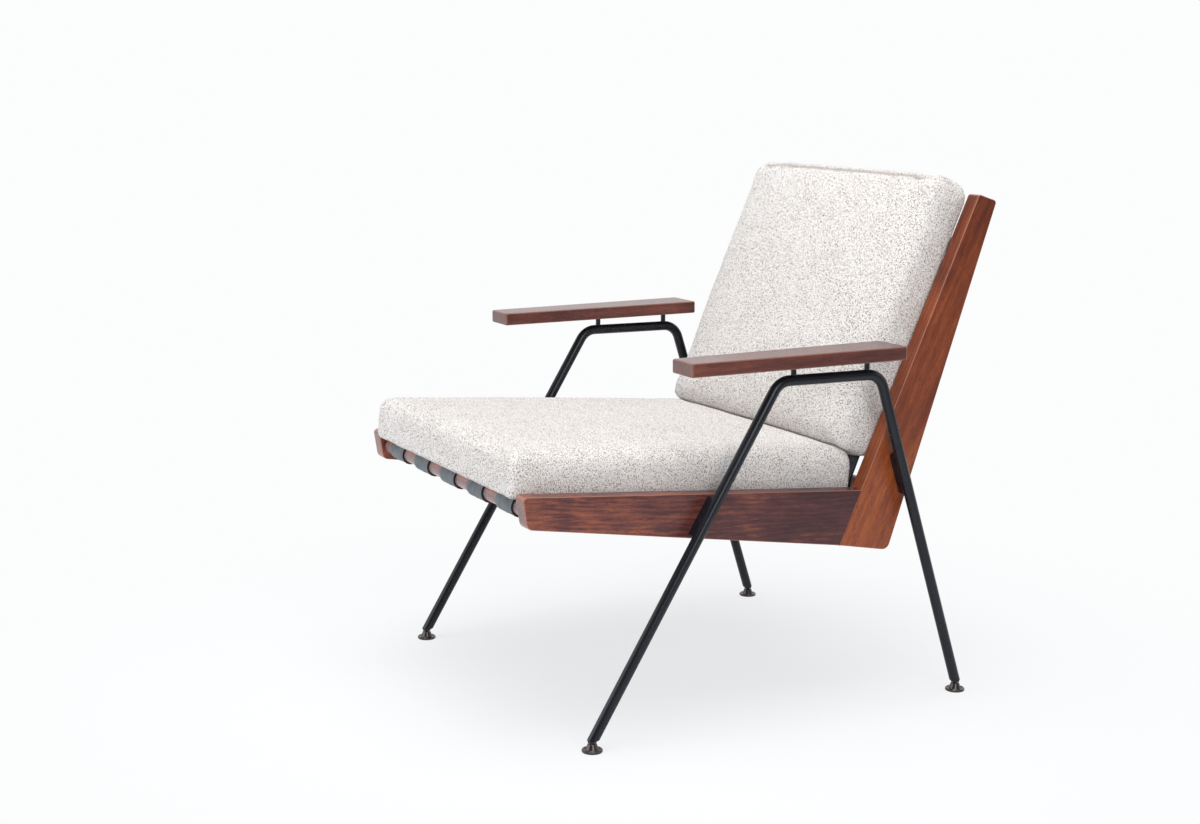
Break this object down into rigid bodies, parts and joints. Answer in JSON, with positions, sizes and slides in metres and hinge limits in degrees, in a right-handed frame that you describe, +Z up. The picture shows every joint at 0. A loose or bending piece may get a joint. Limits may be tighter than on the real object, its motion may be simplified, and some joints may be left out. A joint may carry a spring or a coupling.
{
  "type": "lounge armchair",
  "caption": "Low lounge armchair with raked wooden side boards on bent black tube legs, strapped seat and back, tilting glides and loose looped-fabric cushions.",
  "frame": {"origin": "centre of the overall box on the floor, under the seat", "axes": "+X towards the sitter's left, +Y towards the back, +Z up"},
  "size_m": [0.688, 0.7968, 0.7977],
  "materials": {
    "walnut": "oiled satin",
    "dowel_wood": "bare",
    "black_steel": "satin powder coat",
    "strap_rubber": "matte",
    "fastener_steel": "plated",
    "insert_brass": "plain",
    "plug_plastic": "matte",
    "glide_plastic": "glossy",
    "boucle": "looped pile",
    "foam": "open cell"
  },
  "bodies": {
    "frame": {"arm_inserts": "insert_brass", "back_strap_1": "strap_rubber", "back_strap_2": "strap_rubber", "back_strap_3": "strap_rubber", "back_strap_4": "strap_rubber", "back_strap_5": "strap_rubber", "back_strap_tacks": "fastener_steel", "frame_bolts": "fastener_steel", "frame_washers": "fastener_steel", "front_seat_crossbar": "walnut", "joint_dowels": "dowel_wood", "left_armrest": "walnut", "left_front_arm_post": "black_steel", "left_front_ball_stud": "fastener_steel", "left_front_glide_plug": "plug_plastic", "left_front_mounting_block": "black_steel", "left_leg_frame": "black_steel", "left_rear_arm_post": "black_steel", "left_rear_ball_stud": "fastener_steel", "left_rear_glide_plug": "plug_plastic", "left_rear_mounting_block": "black_steel", "left_seat_rail": "walnut", "left_upright": "walnut", "lower_back_crossbar": "walnut", "rear_seat_crossbar": "walnut", "right_armrest": "walnut", "right_front_arm_post": "black_steel", "right_front_ball_stud": "fastener_steel", "right_front_glide_plug": "plug_plastic", "right_front_mounting_block": "black_steel", "right_leg_frame": "black_steel", "right_rear_arm_post": "black_steel", "right_rear_ball_stud": "fastener_steel", "right_rear_glide_plug": "plug_plastic", "right_rear_mounting_block": "black_steel", "right_seat_rail": "walnut", "right_upright": "walnut", "seat_strap_1": "strap_rubber", "seat_strap_2": "strap_rubber", "seat_strap_3": "strap_rubber", "seat_strap_4": "strap_rubber", "seat_strap_5": "strap_rubber", "seat_strap_tacks": "fastener_steel", "upper_back_crossbar": "walnut"},
    "seat_cushion": {"seat_cushion_cover": "boucle", "seat_cushion_foam": "foam"},
    "back_cushion": {"back_cushion_cover": "boucle", "back_cushion_foam": "foam"},
    "front_left_glide": {"left_front_glide_pad": "glide_plastic"},
    "front_right_glide": {"right_front_glide_pad": "glide_plastic"},
    "rear_left_glide": {"left_rear_glide_pad": "glide_plastic"},
    "rear_right_glide": {"right_rear_glide_pad": "glide_plastic"}
  },
  "joints": [
    {"name": "seat_cushion_slide", "type": "slide", "parent": "frame", "child": "seat_cushion", "axis": [0, -0.9974, 0.0715], "range_m": [0, 0.6]},
    {"name": "back_cushion_lift", "type": "slide", "parent": "frame", "child": "back_cushion", "axis": [0, 0.3885, 0.9214], "range_m": [0, 0.5]},
    {"name": "front_left_glide_tilt", "type": "hinge", "parent": "frame", "child": "front_left_glide", "pos_m": [0.306, -0.292, 0.008], "axis": [1, 0, 0], "range_deg": [-12, 12]},
    {"name": "front_right_glide_tilt", "type": "hinge", "parent": "frame", "child": "front_right_glide", "pos_m": [-0.306, -0.292, 0.008], "axis": [1, 0, 0], "range_deg": [-12, 12]},
    {"name": "rear_left_glide_tilt", "type": "hinge", "parent": "frame", "child": "rear_left_glide", "pos_m": [0.306, 0.344, 0.008], "axis": [1, 0, 0], "range_deg": [-12, 12]},
    {"name": "rear_right_glide_tilt", "type": "hinge", "parent": "frame", "child": "rear_right_glide", "pos_m": [-0.306, 0.344, 0.008], "axis": [1, 0, 0], "range_deg": [-12, 12]}
  ]
}
